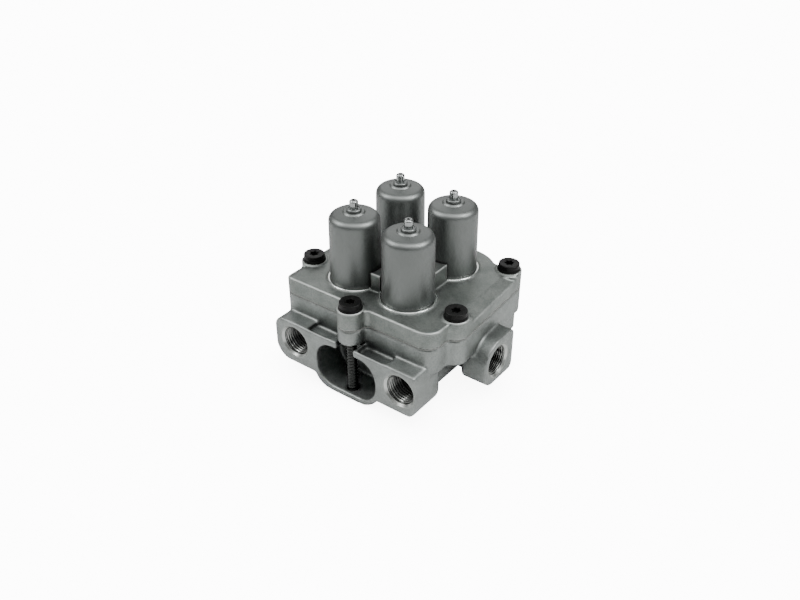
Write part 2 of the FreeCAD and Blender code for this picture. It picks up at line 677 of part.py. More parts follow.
def adjusting_screw(x, y):
    tip = COLLAR_TOP + ADJUSTER_TIP_RISE
    return turned(
        x, y,
        [
            (0, PLATE_TOP),
            (ADJUSTER_RADIUS - ADJUSTER_CHAMFER, PLATE_TOP),
            (ADJUSTER_RADIUS, PLATE_TOP + ADJUSTER_CHAMFER),
            (ADJUSTER_RADIUS, NUT_TOP - ADJUSTER_CHAMFER),
            (ADJUSTER_NECK_RADIUS, NUT_TOP),
            (ADJUSTER_NECK_RADIUS, NUT_TOP + ADJUSTER_NECK_HEIGHT),
            (ADJUSTER_CONE_RADIUS, NUT_TOP + ADJUSTER_CONE_START),
            (ADJUSTER_TIP_RADIUS, tip),
            (ADJUSTER_TIP_HOLE_RADIUS, tip),
            (ADJUSTER_TIP_HOLE_RADIUS, tip - ADJUSTER_TIP_HOLE_DEPTH),
            (0, tip - ADJUSTER_TIP_HOLE_DEPTH),
        ],
    )


def lock_nut(x, y):
    nut = cylinder(x, y, LOCK_NUT_RADIUS, COLLAR_TOP, NUT_TOP)
    top = [e for e in nut.Edges if e.BoundBox.ZMin > NUT_TOP - SAME_PLACE]
    nut = nut.makeChamfer(LOCK_NUT_HEIGHT / 3, top)
    return nut.cut(cylinder(x, y, ADJUSTER_HOLE_RADIUS, COLLAR_TOP - PAST, NUT_TOP + PAST))


def upper_spring_plate(x, y):
    plate = cylinder(x, y, PLATE_RADIUS, PLATE_UNDER, PLATE_TOP)
    guide = cylinder(x, y, SPRING_GUIDE_RADIUS, PLATE_UNDER - PLATE_GUIDE_HEIGHT, PLATE_UNDER)
    return joined([plate, guide])


def pressure_piston(x, y):
    crown = cylinder(x, y, PISTON_RADIUS, DIAPHRAGM_OVER, PISTON_TOP)
    guide = cylinder(x, y, SPRING_GUIDE_RADIUS, PISTON_TOP, PISTON_TOP + PISTON_GUIDE_HEIGHT)
    return joined([crown, guide])


def diaphragm(x, y):
    inner = CAP_FLANGE_RADIUS - DIAPHRAGM_BEAD_WIDTH
    return turned(
        x, y,
        [
            (0, DIAPHRAGM_UNDER),
            (inner, DIAPHRAGM_UNDER),
            (inner, JOINT_Z),
            (CAP_FLANGE_RADIUS, JOINT_Z),
            (CAP_FLANGE_RADIUS, BEAD_TOP),
            (inner, BEAD_TOP),
            (inner, DIAPHRAGM_OVER),
            (0, DIAPHRAGM_OVER),
        ],
    )


def valve_seat(x, y):
    seat = cylinder(x, y, SEAT_RADIUS, SEAT_BOTTOM, DIAPHRAGM_UNDER)
    return seat.cut(cylinder(x, y, SEAT_BORE_RADIUS, SEAT_BOTTOM - PAST, DIAPHRAGM_UNDER + PAST))


def check_poppet(y):
    return turned(
        0, y,
        [
            (0, CHECK_FLOOR),
            (CHECK_PASSAGE_RADIUS + CHECK_POPPET_SEAT_WIDTH, CHECK_FLOOR),
            (CHECK_POPPET_RADIUS, CHECK_FLOOR + CHECK_POPPET_TAPER),
            (CHECK_POPPET_RADIUS, CHECK_POPPET_TOP),
            (0, CHECK_POPPET_TOP),
        ],
    )


def build():
    """Every piece of the valve, by the name of its node."""
    pieces = {
        "lower_body": lower_body(),
        "housing_gasket": housing_gasket(),
        "upper_housing": upper_housing(),
        "housing_screws": Part.makeCompound(
            [flange_screw(x, y, JOINT_Z - SCREW_ENGAGEMENT) for x, y in SHORT_SCREWS]
        ),
        "long_housing_screw": flange_screw(*LONG_SCREW, HOLLOW_BOTTOM - LONG_SCREW_BITE),
    }
    for name, (x, y) in CIRCUITS.items():
        pieces["spring_cap_" + name] = spring_cap(x, y)
        pieces["cap_seal_" + name] = cap_seal(x, y)
        pieces["adjusting_screw_" + name] = adjusting_screw(x, y)
        pieces["lock_nut_" + name] = lock_nut(x, y)
        pieces["upper_spring_plate_" + name] = upper_spring_plate(x, y)
        pieces["main_spring_" + name] = coil(
            x, y, SPRING_RADIUS, SPRING_WIRE_RADIUS, PISTON_TOP, PLATE_UNDER, SPRING_TURNS
        )
        pieces["pressure_piston_" + name] = pressure_piston(x, y)
        pieces["diaphragm_" + name] = diaphragm(x, y)
        pieces["valve_seat_" + name] = valve_seat(x, y)
    for name, side in (("front", -1), ("rear", 1)):
        y = side * CHECK_Y
        pieces["check_poppet_" + name] = check_poppet(y)
        pieces["check_spring_" + name] = coil(
            0, y, CHECK_SPRING_RADIUS, CHECK_SPRING_WIRE, CHECK_POPPET_TOP,
            GASKET_TOP + CHECK_POCKET_DEPTH, CHECK_SPRING_TURNS,
        )
    return pieces


os.makedirs("parts", exist_ok=True)
for node, shape in build().items():
    shape.exportStep("parts/" + node + ".step")
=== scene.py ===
"""Four circuit protection valve: the finish of every surface, in the order the valve is put together.

Lengths are in metres, written as millimetres times MM. The origin is the middle of the resting face,
+Z is up, and the face with two ports and the long screw looks along -Y.
"""

import json
import math

import bmesh
import bpy
from mathutils import Matrix, Vector


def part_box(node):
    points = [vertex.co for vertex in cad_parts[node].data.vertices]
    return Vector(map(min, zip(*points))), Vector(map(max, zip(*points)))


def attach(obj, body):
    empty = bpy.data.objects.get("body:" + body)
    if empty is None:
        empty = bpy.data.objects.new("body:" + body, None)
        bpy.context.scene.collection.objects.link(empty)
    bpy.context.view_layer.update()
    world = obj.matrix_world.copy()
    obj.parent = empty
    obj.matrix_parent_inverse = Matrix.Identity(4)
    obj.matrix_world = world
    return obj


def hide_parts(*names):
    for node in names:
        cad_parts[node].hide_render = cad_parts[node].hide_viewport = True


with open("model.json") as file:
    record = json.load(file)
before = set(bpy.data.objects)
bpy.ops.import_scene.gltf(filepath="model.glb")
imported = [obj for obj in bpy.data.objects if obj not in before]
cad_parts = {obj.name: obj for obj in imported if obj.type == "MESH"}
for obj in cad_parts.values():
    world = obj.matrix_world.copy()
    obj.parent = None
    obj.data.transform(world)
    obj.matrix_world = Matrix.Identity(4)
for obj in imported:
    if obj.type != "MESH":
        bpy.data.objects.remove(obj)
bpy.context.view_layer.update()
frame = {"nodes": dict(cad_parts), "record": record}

MM = 0.001

# The camera looks down on the corner between the front, with its two ports, and the right-hand port,
# from a little more than 0.6 m.
CAMERA_TARGET = Vector((1.25, -6.53, 50.35)) * MM
CAMERA_DISTANCE = 620.1 * MM
CAMERA_TURN = 36.98
CAMERA_RISE = 32.88


def direction(turn, rise):
    """The unit vector that points away from the valve, by degrees round from its front and up."""
    turn, rise = math.radians(turn), math.radians(rise)
    return Vector((math.sin(turn) * math.cos(rise), -math.cos(turn) * math.cos(rise), math.sin(rise)))


def aimed(data, turn, rise, distance):
    """A camera or a lamp at a distance in one direction, turned to face the valve."""
    outward = direction(turn, rise)
    item = bpy.data.objects.new(data.name, data)
    bpy.context.scene.collection.objects.link(item)
    facing = outward.to_track_quat("Z", "Y").to_matrix().to_4x4()
    item.matrix_world = Matrix.Translation(CAMERA_TARGET + outward * distance) @ facing
    return item


camera = bpy.data.cameras.new("camera")
camera.lens = 38.48
camera.sensor_width = 36
camera.clip_start = 10 * MM
bpy.context.scene.camera = aimed(camera, CAMERA_TURN, CAMERA_RISE, CAMERA_DISTANCE)


# The valve stands on white paper that glows by itself until it is nearly pure white, with a faint painted
# shadow round the valve. A second, plainer sheet just below it gives the light that the paper throws back up.
# One soft box stands to the camera's left and one to its right, one hangs over the valve, and a weaker one
# stands behind it.
PAPER_SIZE = 8
PAPER_HEIGHT = -0.2 * MM
BOUNCE_HEIGHT = -0.4 * MM
# How far round the valve the paper's painted shadow reaches.
PAINTED_SHADOW_REACH = 30 * MM
# Each soft box has a turn and a rise in degrees, a distance and a size in metres, and a power in watts.
SOFT_BOXES = (
    ("left_soft_box", -52, 45, 0.95, 0.45, 7.4),
    ("right_soft_box", 106, 48, 1.00, 0.45, 11),
    ("top_soft_box", 35, 70, 1.10, 0.80, 8),
    ("back_soft_box", 215, 36, 1.10, 0.80, 3.2),
)


def linear(code):
    """An sRGB hex colour as the linear colour that a shader takes."""
    parts = [int(code[i:i + 2], 16) / 255 for i in (1, 3, 5)]
    return [c / 12.92 if c <= 0.04045 else ((c + 0.055) / 1.055) ** 2.4 for c in parts] + [1]


def add(tree, kind, settings=None, links=None):
    """Adds a shader node, sets its inputs or its own settings, and links other nodes into it."""
    made = tree.nodes.new(kind)
    for key, value in (settings or {}).items():
        if isinstance(key, int) or key in made.inputs:
            made.inputs[key].default_value = value
        else:
            setattr(made, key, value)
    for key, source in (links or {}).items():
        tree.links.new(source, made.inputs[key])
    return made


def per(length_mm):
    """The scale at which a pattern repeats about once in this length."""
    return 1 / (length_mm * MM)


def new_material(name):
    """A material with an empty shader tree."""
    material = bpy.data.materials.new(name)
    material.use_nodes = True
    material.node_tree.nodes.clear()
    return material, material.node_tree


def paper_fibre(tree, dark, light):
    """The colour of paper, which goes between two whites with its fibres."""
    place = add(tree, "ShaderNodeTexCoord").outputs["Object"]
    fibre = add(tree, "ShaderNodeTexNoise", {"Scale": per(40), "Detail": 4}, {"Vector": place})
    shade = add(
        tree, "ShaderNodeMix", {"data_type": "RGBA", 6: linear(dark), 7: linear(light)},
        {0: fibre.outputs["Fac"]},
    )
    return shade.outputs[2]


def sheet_of_paper(name, height, material):
    """A flat sheet of paper under the valve."""
    bpy.ops.object.select_all(action="DESELECT")
    bpy.ops.mesh.primitive_plane_add(size=PAPER_SIZE, location=(0, 0, height))
    bpy.context.object.name = name
    bpy.context.object.data.materials.append(material)
    return bpy.context.object


# White paper that glows nearly white by itself. Round what stands on it, a faint grey painted shadow is left.
paper, tree = new_material("overexposed_white_paper")
# Painted shadow: the paper glows less where the valve stands near it.
painted_contact_shadow = add(tree, "ShaderNodeAmbientOcclusion", {"samples": 16, "Distance": PAINTED_SHADOW_REACH})
glow = add(tree, "ShaderNodeMapRange", {"To Min": 7.0, "To Max": 13.0}, {"Value": painted_contact_shadow.outputs["AO"]})
shade = paper_fibre(tree, "#FBFBFB", "#FFFFFF")
light = add(tree, "ShaderNodeEmission", None, {"Color": shade, "Strength": glow.outputs[0]})
add(tree, "ShaderNodeOutputMaterial", None, {"Surface": light.outputs[0]})
seen_paper = sheet_of_paper("floor", PAPER_HEIGHT, paper)
seen_paper.visible_diffuse = False
seen_paper.visible_glossy = False
seen_paper.visible_shadow = False

# The same paper as the valve sees it: matt white.
bounce, tree = new_material("matt_white_paper")
shade = paper_fibre(tree, "#E4E4E4", "#EEEEEE")
surface = add(tree, "ShaderNodeBsdfPrincipled", {"Roughness": 0.9}, {"Base Color": shade})
add(tree, "ShaderNodeOutputMaterial", None, {"Surface": surface.outputs[0]})
sheet_of_paper("floor_bounce", BOUNCE_HEIGHT, bounce).visible_camera = False

# Beyond the paper the room is evenly grey.
room = bpy.data.worlds.new("studio")
room.use_nodes = True
room.node_tree.nodes["Background"].inputs["Color"].default_value = linear("#EDF0EE")
room.node_tree.nodes["Background"].inputs["Strength"].default_value = 0.30
bpy.context.scene.world = room

for name, turn, rise, distance, size, power in SOFT_BOXES:
    lamp = bpy.data.lights.new(name, "AREA")
    lamp.size = size
    lamp.energy = power
    aimed(lamp, turn, rise, distance)


# The body is one high-pressure die casting in aluminium, blasted after trimming: a dull, fine-grained
# grey skin. Its edges are lighter, partly rubbed wear and partly a painted highlight, and its corners and
# hollows are darkened with painted shade. It is drawn from its own solid, with the small round that a
# mould leaves on every edge.
# A finer grid keeps sharper edges, and more smoothing rounds them more. Flat faces need few triangles,
# so the mesh is then thinned to this many.
BODY_GRID = 0.9 * MM
BODY_SMOOTHING = 7
BODY_TRIANGLES = 190000
# The block of the body that holds the passages, which nobody sees from outside.
BODY_CORE_LOW = Vector((-40, -41, 16)) * MM
BODY_CORE_HIGH = Vector((40, 43, 56)) * MM
# Painted shade darkens a casting where another wall stands nearer than this.
PAINTED_SHADE_REACH = 22 * MM
# Points nearer than this are one point.
WELD = 0.002 * MM


def cast_aluminium(name, light, dark, rubbed_and_highlit, painted_corner_shade, rub_and_highlight):
    """Blasted cast aluminium: matt grey, with a grain like fine sandpaper and faint large patches.

    Its edges are lighter, partly rubbed wear and partly a painted highlight, as strongly as the last
    argument says, and its inner corners, hollows and pockets are darkened with painted shade.
    """
    material, tree = new_material(name)
    place = add(tree, "ShaderNodeTexCoord").outputs["Object"]
    patches = add(
        tree, "ShaderNodeTexNoise", {"Scale": per(14), "Detail": 3, "Roughness": 0.6}, {"Vector": place}
    )
    grains = add(
        tree, "ShaderNodeTexNoise", {"Scale": per(1.1), "Detail": 4, "Roughness": 0.7}, {"Vector": place}
    )
    pits = add(tree, "ShaderNodeTexVoronoi", {"Scale": per(2.8)}, {"Vector": place})
    colour = add(
        tree, "ShaderNodeMix", {"data_type": "RGBA", 6: linear(dark), 7: linear(light)},
        {0: add(
            tree, "ShaderNodeMapRange", {"From Min": 0.3, "From Max": 0.7}, {"Value": patches.outputs["Fac"]}
        ).outputs[0]},
    )
    speck = add(
        tree, "ShaderNodeMapRange", {"From Min": 0.35, "From Max": 0.65, "To Min": 0.80, "To Max": 1.12},
        {"Value": grains.outputs["Fac"]},
    )
    speckled = add(
        tree, "ShaderNodeMix", {"data_type": "RGBA", "blend_type": "MULTIPLY", 0: 1.0},
        {6: colour.outputs[2], 7: speck.outputs[0]},
    )
    # Edges are lighter: partly rubbed wear, partly a painted highlight.
    bend = add(tree, "ShaderNodeNewGeometry").outputs["Pointiness"]
    edge = add(
        tree, "ShaderNodeMapRange", {"From Min": 0.51, "From Max": 0.60, "To Max": rub_and_highlight}, {"Value": bend}
    )
    worn_and_highlit = add(
        tree, "ShaderNodeMix", {"data_type": "RGBA", 7: linear(rubbed_and_highlit)},
        {0: edge.outputs[0], 6: speckled.outputs[2]},
    )
    # Painted shade: inner corners are darkened towards a dark grey.
    corner = add(
        tree, "ShaderNodeMapRange", {"From Min": 0.49, "From Max": 0.40, "To Max": 0.7}, {"Value": bend}
    )
    corner_shaded = add(
        tree, "ShaderNodeMix", {"data_type": "RGBA", 7: linear(painted_corner_shade)},
        {0: corner.outputs[0], 6: worn_and_highlit.outputs[2]},
    )
    dull = add(
        tree, "ShaderNodeMapRange", {"From Min": 0.3, "From Max": 0.7, "To Min": 0.42, "To Max": 0.56},
        {"Value": grains.outputs["Fac"]},
    )
    rough = add(
        tree, "ShaderNodeBump", {"Strength": 0.35, "Distance": 0.15 * MM}, {"Height": grains.outputs["Fac"]}
    )
    pitted = add(
        tree, "ShaderNodeBump", {"Strength": 0.12, "Distance": 0.3 * MM},
        {"Height": pits.outputs["Distance"], "Normal": rough.outputs[0]},
    )
    # Painted shade: hollows, pockets and the places between parts are darkened by how little open sky they
    # see.
    open_sky = add(tree, "ShaderNodeAmbientOcclusion", {"samples": 8, "Distance": PAINTED_SHADE_REACH})
    painted_shade = add(
        tree, "ShaderNodeMapRange", {"From Min": 0.25, "From Max": 0.70, "To Min": 0.12, "To Max": 1.0},
        {"Value": open_sky.outputs["AO"]},
    )
    shaded = add(
        tree, "ShaderNodeMix", {"data_type": "RGBA", "blend_type": "MULTIPLY", 0: 1.0},
        {6: corner_shaded.outputs[2], 7: painted_shade.outputs[0]},
    )
    surface = add(
        tree, "ShaderNodeBsdfPrincipled", {"Metallic": 1.0},
        {"Base Color": shaded.outputs[2], "Roughness": dull.outputs[0], "Normal": pitted.outputs[0]},
    )
    add(tree, "ShaderNodeOutputMaterial", None, {"Surface": surface.outputs[0]})
    return material


def only(piece):
    """Deselects everything, then selects one piece and makes it the active one."""
    bpy.ops.object.select_all(action="DESELECT")
    piece.select_set(True)
    bpy.context.view_layer.objects.active = piece


def finished(piece, name, material, body="housing"):
    """Names a piece, fixes its place into its mesh, gives it its finish and seats it on its body."""
    only(piece)
    bpy.ops.object.transform_apply(location=True, rotation=True, scale=True)
    piece.name = name
    piece.data.name = name
    piece.data.materials.clear()
    piece.data.materials.append(material)
    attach(piece, body)
    return piece


def modified(piece, kind, **settings):
    """Adds one modifier to a piece and applies it."""
    only(piece)
    modifier = piece.modifiers.new(kind.lower(), kind)
    for key, value in settings.items():
        setattr(modifier, key, value)
    bpy.ops.object.modifier_apply(modifier=modifier.name)


def copied_solid(node, name):
    """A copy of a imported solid's mesh as a new piece, with its loose triangles merged."""
    piece = bpy.data.objects.new(name, frame["nodes"][node].data.copy())
    bpy.context.scene.collection.objects.link(piece)
    only(piece)
    bpy.ops.object.mode_set(mode="EDIT")
    bpy.ops.mesh.select_all(action="SELECT")
    bpy.ops.mesh.remove_doubles(threshold=WELD)
    bpy.ops.object.mode_set(mode="OBJECT")
    return piece


def filled(piece, low, high):
    """Joins a block into a casting where nothing can be seen, so its inner passages take no mesh."""
    bpy.ops.object.select_all(action="DESELECT")
    bpy.ops.mesh.primitive_cube_add(size=1, location=(low + high) / 2, scale=high - low)
    bpy.context.object.select_set(True)
    piece.select_set(True)
    bpy.context.view_layer.objects.active = piece
    bpy.ops.object.join()


def cast_skin(piece, grid, smoothing, most_triangles):
    """Rounds every edge of a casting as the mould leaves it, and thins the mesh where it is flat."""
    modified(piece, "REMESH", mode="VOXEL", voxel_size=grid)
    modified(piece, "SMOOTH", factor=0.5, iterations=smoothing)
    triangles = sum(len(face.vertices) - 2 for face in piece.data.polygons)
    if triangles > most_triangles:
        modified(piece, "DECIMATE", ratio=most_triangles / triangles)
    only(piece)
    bpy.ops.object.shade_smooth()


body_cast = copied_solid("lower_body", "body_casting")
filled(body_cast, BODY_CORE_LOW, BODY_CORE_HIGH)
cast_skin(body_cast, BODY_GRID, BODY_SMOOTHING, BODY_TRIANGLES)
body_metal = cast_aluminium("blasted_cast_aluminium_body", "#8D918F", "#7A7E7C", "#A9ACA9", "#2A2C2A", 0.2)
finished(body_cast, "body_casting", body_metal)
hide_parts("lower_body")


# Each of the five ports is drilled, faced, countersunk and tapped M22 x 1.5 after casting, so its
# metal is bright, with the rings of the facing tool round the mouth and sharp thread crests inside.
PORT_STEPS = 96
# The thread's real pitch is 1.5 mm. In the two front ports, seen more squarely, it is too fine to show,
# so it is drawn half as coarse again there.
PORT_PITCH = 1.5 * MM
FRONT_PORT_PITCH = 2.2 * MM
PORT_ROWS_PER_PITCH = 8
PORT_ROOT = 10.95 * MM
PORT_CREST = 10.0 * MM
PORT_MOUTH = 12.5 * MM
PORT_FACE = 14.2 * MM
PORT_FACE_DEPTH = 0.25 * MM
PORT_RIM_DEPTH = 2.5 * MM
PORT_DEPTH = 17.6 * MM
# A port's mount is in the middle of its bore. Its mouth is this far in front.
PORT_MOUTH_AHEAD = 10 * MM
# The facing tool runs out over the right-hand end of the front bar.
BAR_RIGHT_END = 59.3 * MM
# Blender's wave pattern repeats 20 / tau times in one unit, so the spacing of its rings is worked out
# with that. Rings as fine as the tool's own would not show, so these are far apart and faint.
TOOL_RING_SPACING = 7.54 * MM
WAVES_PER_TURN = 20
# Edges that turn by more than this stay sharp in the light.
PORT_SHARP_FROM = math.radians(35)


def machined_aluminium(name, axis):
    """Cut aluminium with faint rings of the tool round an axis. The thread's grooves and the deep bore are
    darker: partly dirt, partly painted shade.
    """
    material, tree = new_material(name)
    place = add(tree, "ShaderNodeTexCoord").outputs["Object"]
    turned_about = add(tree, "ShaderNodeMapping", {"vector_type": "POINT"}, {"Vector": place})
    turned_about.inputs["Location"].default_value = axis[0]
    turned_about.inputs["Rotation"].default_value = axis[1]
    rings = add(
        tree, "ShaderNodeTexWave",
        {
            "wave_type": "RINGS", "rings_direction": "Z", "Distortion": 0.6, "Detail": 2,
            "Scale": math.tau / WAVES_PER_TURN / TOOL_RING_SPACING,
        },
        {"Vector": turned_about.outputs[0]},
    )
    smears = add(
        tree, "ShaderNodeTexNoise", {"Scale": per(3), "Detail": 4, "Roughness": 0.6}, {"Vector": place}
    )
    clean = add(
        tree, "ShaderNodeMix", {"data_type": "RGBA", 6: linear("#999C99"), 7: linear("#C6C8C5")},
        {0: smears.outputs["Fac"]},
    )
    bore = add(tree, "ShaderNodeSeparateXYZ", None, {0: turned_about.outputs[0]})
    across = add(tree, "ShaderNodeCombineXYZ", None, {0: bore.outputs[0], 1: bore.outputs[1]})
    radius = add(
        tree, "ShaderNodeVectorMath", {"operation": "LENGTH"}, {0: across.outputs[0]}
    ).outputs["Value"]
    # The flat face round the mouth has dulled to the colour of the casting.
    flat = add(
        tree, "ShaderNodeMapRange", {"From Min": PORT_MOUTH - 0.1 * MM, "From Max": PORT_MOUTH + 0.2 * MM},
        {"Value": radius},
    ).outputs[0]
    cut_metal = add(
        tree, "ShaderNodeMix", {"data_type": "RGBA", 7: linear("#868A87")}, {0: flat, 6: clean.outputs[2]},
    )
    # The thread's grooves and the bore's depth are darkened: partly dirt, partly painted shade.
    groove = add(
        tree, "ShaderNodeMapRange", {"From Min": PORT_CREST + 0.1 * MM, "From Max": PORT_ROOT - 0.2 * MM},
        {"Value": radius},
    )
    inside = add(
        tree, "ShaderNodeMapRange",
        {"From Min": PORT_ROOT + 0.02 * MM, "From Max": PORT_ROOT + 0.1 * MM, "To Min": 0.97, "To Max": 0},
        {"Value": radius},
    )
    deep = add(
        tree, "ShaderNodeMapRange", {"From Min": -2 * MM, "From Max": -10 * MM, "To Max": 0.9},
        {"Value": bore.outputs[2]},
    )
    dirt_and_painted_shade = add(
        tree, "ShaderNodeMath", {"operation": "MULTIPLY"},
        {0: inside.outputs[0], 1: add(
            tree, "ShaderNodeMath", {"operation": "MAXIMUM"}, {0: groove.outputs[0], 1: deep.outputs[0]}
        ).outputs[0]},
    )
    colour = add(
        tree, "ShaderNodeMix", {"data_type": "RGBA", 7: linear("#1C1D1C")},
        {0: dirt_and_painted_shade.outputs[0], 6: cut_metal.outputs[2]},
    )
    dull = add(tree, "ShaderNodeMapRange", {"To Min": 0.32, "To Max": 0.46}, {"Value": flat})
    cut = add(
        tree, "ShaderNodeBump", {"Strength": 0.25, "Distance": 0.08 * MM}, {"Height": rings.outputs["Fac"]}
    )
    surface = add(
        tree, "ShaderNodeBsdfPrincipled", {"Metallic": 1.0},
        {"Base Color": colour.outputs[2], "Roughness": dull.outputs[0], "Normal": cut.outputs[0]},
    )
    add(tree, "ShaderNodeOutputMaterial", None, {"Surface": surface.outputs[0]})
    return material


def choose(piece, kind, test):
    """In edit mode, selects just the vertices, edges or faces of a piece that pass a test."""
    bpy.ops.mesh.select_mode(type=kind)
    bpy.ops.mesh.select_all(action="DESELECT")
    mesh = bmesh.from_edit_mesh(piece.data)
    for item in {"VERT": mesh.verts, "EDGE": mesh.edges, "FACE": mesh.faces}[kind]:
        if test(item):
            item.select = True
    mesh.select_flush_mode()
    bmesh.update_edit_mesh(piece.data)


def thread_ridge(turns):
    """How high a thread's flank stands, from 0 at its flat root to 1 at its flat crest."""
    rise = 1 - abs(2 * (turns % 1) - 1)
    return min(max(1.5 * rise - 0.25, 0), 1)


def lengthwise(edge):
    """Whether an edge runs along the Z axis and not round it."""
    return abs(edge.verts[0].co.z - edge.verts[1].co.z) > WELD


def tapped_port(pitch):
    """One port's finished metal, with its mouth at the origin and its bore along -Z."""
    length = PORT_DEPTH - PORT_FACE_DEPTH
    bpy.ops.object.select_all(action="DESELECT")
    bpy.ops.mesh.primitive_cylinder_add(
        vertices=PORT_STEPS, radius=PORT_MOUTH, depth=length, end_fill_type="NOTHING",
        location=(0, 0, -PORT_FACE_DEPTH - length / 2),
    )
    port = bpy.context.object
    bpy.ops.object.transform_apply(location=True)
    bpy.ops.object.mode_set(mode="EDIT")
    choose(port, "EDGE", lengthwise)
    bpy.ops.mesh.subdivide(number_cuts=round(length / pitch * PORT_ROWS_PER_PITCH) - 1)
    mesh = bmesh.from_edit_mesh(port.data)
    for vertex in mesh.verts:
        depth = -vertex.co.z
        angle = math.atan2(vertex.co.y, vertex.co.x)
        thread = PORT_ROOT - (PORT_ROOT - PORT_CREST) * thread_ridge(depth / pitch + angle / math.tau)
        sink = PORT_MOUTH - (depth - PORT_FACE_DEPTH)
        radius = max(thread, sink)
        vertex.co.x = radius * math.cos(angle)
        vertex.co.y = radius * math.sin(angle)
    bmesh.update_edit_mesh(port.data)
    choose(port, "VERT", lambda v: v.co.z > -PORT_FACE_DEPTH - WELD)
    bpy.ops.mesh.extrude_region_move()
    grow = PORT_FACE / PORT_MOUTH
    bpy.ops.transform.resize(value=(grow, grow, 1), center_override=(0, 0, 0))
    bpy.ops.mesh.extrude_region_move(
        TRANSFORM_OT_translate={"value": (0, 0, PORT_FACE_DEPTH - PORT_RIM_DEPTH)}
    )
    choose(port, "EDGE", lambda e: e.is_boundary)
    bpy.ops.mesh.bridge_edge_loops()
    bpy.ops.mesh.select_all(action="SELECT")
    bpy.ops.mesh.normals_make_consistent(inside=False)
    bpy.ops.object.mode_set(mode="OBJECT")
    bpy.ops.object.shade_smooth_by_angle(angle=PORT_SHARP_FROM)
    return port


def copied(piece, place, turn=None):
    """Another of a piece, with its own mesh, at its own place."""
    other = piece.copy()
    other.data = piece.data.copy()
    bpy.context.scene.collection.objects.link(other)
    other.matrix_world = Matrix.Translation(place) @ (turn or Matrix.Identity(4))
    return other


port_patterns = {"front": tapped_port(FRONT_PORT_PITCH), "other": tapped_port(PORT_PITCH)}
for mount in frame["record"]["mounts"]:
    if not mount["name"].startswith("port_"):
        continue
    outward = Vector(mount["axis"])
    place = Vector(mount["pos_m"]) + outward * PORT_MOUTH_AHEAD
    facing = outward.to_track_quat("Z", "Y")
    pattern = port_patterns["front" if "front" in mount["name"] else "other"]
    port = copied(pattern, place, facing.to_matrix().to_4x4())
    back = facing.inverted()
    centre = -(back @ place)
    metal = machined_aluminium("turned_aluminium_" + mount["name"], (centre, back.to_euler("XYZ")))
    finished(port, mount["name"] + "_thread", metal)
    if mount["name"] == "port_front_right":
        for vertex in port.data.vertices:
            vertex.co.x = min(vertex.co.x, BAR_RIGHT_END)
for pattern in port_patterns.values():
    bpy.data.objects.remove(pattern)


# The gasket between body and cover is punched from pressed fibre. Only its edge shows, as a thin
# dark line, and it keeps its own solid.
def plain_material(name, light, dark, size_mm, metallic, roughness, depth_mm=0.05):
    """A finish with a fine grain: its colours, the grain's size, and how rough it is."""
    material, tree = new_material(name)
    place = add(tree, "ShaderNodeTexCoord").outputs["Object"]
    grain = add(tree, "ShaderNodeTexNoise", {"Scale": per(size_mm), "Detail": 3}, {"Vector": place})
    colour = add(
        tree, "ShaderNodeMix", {"data_type": "RGBA", 6: linear(dark), 7: linear(light)},
        {0: grain.outputs["Fac"]},
    )
    dull = add(
        tree, "ShaderNodeMapRange", {"To Min": roughness - 0.08, "To Max": roughness + 0.08},
        {"Value": grain.outputs["Fac"]},
    )
    rough = add(
        tree, "ShaderNodeBump", {"Strength": 0.3, "Distance": depth_mm * MM}, {"Height": grain.outputs["Fac"]}
    )
    surface = add(
        tree, "ShaderNodeBsdfPrincipled", {"Metallic": metallic},
        {"Base Color": colour.outputs[2], "Roughness": dull.outputs[0], "Normal": rough.outputs[0]},
    )
    add(tree, "ShaderNodeOutputMaterial", None, {"Surface": surface.outputs[0]})
    return material


def dressed(names, material):
    """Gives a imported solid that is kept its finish."""
    for name in names:
        node = frame["nodes"][name]
        node.data.materials.clear()
        node.data.materials.append(material)


dressed(["housing_gasket"], plain_material("pressed_gasket_fibre", "#7A7C79", "#5A5C59", 0.8, 0.0, 0.8))


# The cover is a second die casting. A web stiffens it between the caps, and its top slopes down to
# both sides. The mouth of each cap's bore is turned bright after casting, with a low rounded bead.
COVER_GRID = 0.7 * MM
COVER_SMOOTHING = 3
COVER_TRIANGLES = 190000
CIRCUITS = ("front_left", "front_right", "rear_right", "rear_left")
BEAD_INNER = 18.45 * MM
BEAD_OUTER = 20.5 * MM
BEAD_FOOT = 12 * MM
BEAD_TOP = 13.6 * MM
BEAD_OUTER_ROUND = 0.9 * MM
BEAD_INNER_ROUND = 0.4 * MM
ROUND_STEPS = 6
TURNED_STEPS = 96
TURNED_SHARP_FROM = math.radians(40)


def rounded(corners):
    """An outline through corners (radius, height, rounding), each corner turned into an arc."""
    points = []
    for i, (r, z, rounding) in enumerate(corners):
        here = Vector((r, z))
        if not rounding:
            points.append(here)
            continue
        back = (Vector(corners[i - 1][:2]) - here).normalized()
        ahead = (Vector(corners[i + 1][:2]) - here).normalized()
        half = back.angle(ahead) / 2
        centre = here + (back + ahead).normalized() * rounding / math.sin(half)
        start = here + back * rounding / math.tan(half) - centre
        end = here + ahead * rounding / math.tan(half) - centre
        sweep = start.angle_signed(end)
        for step in range(ROUND_STEPS + 1):
            turn = -sweep * step / ROUND_STEPS
            turned_start = Vector((
                start.x * math.cos(turn) - start.y * math.sin(turn),
                start.x * math.sin(turn) + start.y * math.cos(turn),
            ))
            points.append(centre + turned_start)
    return points


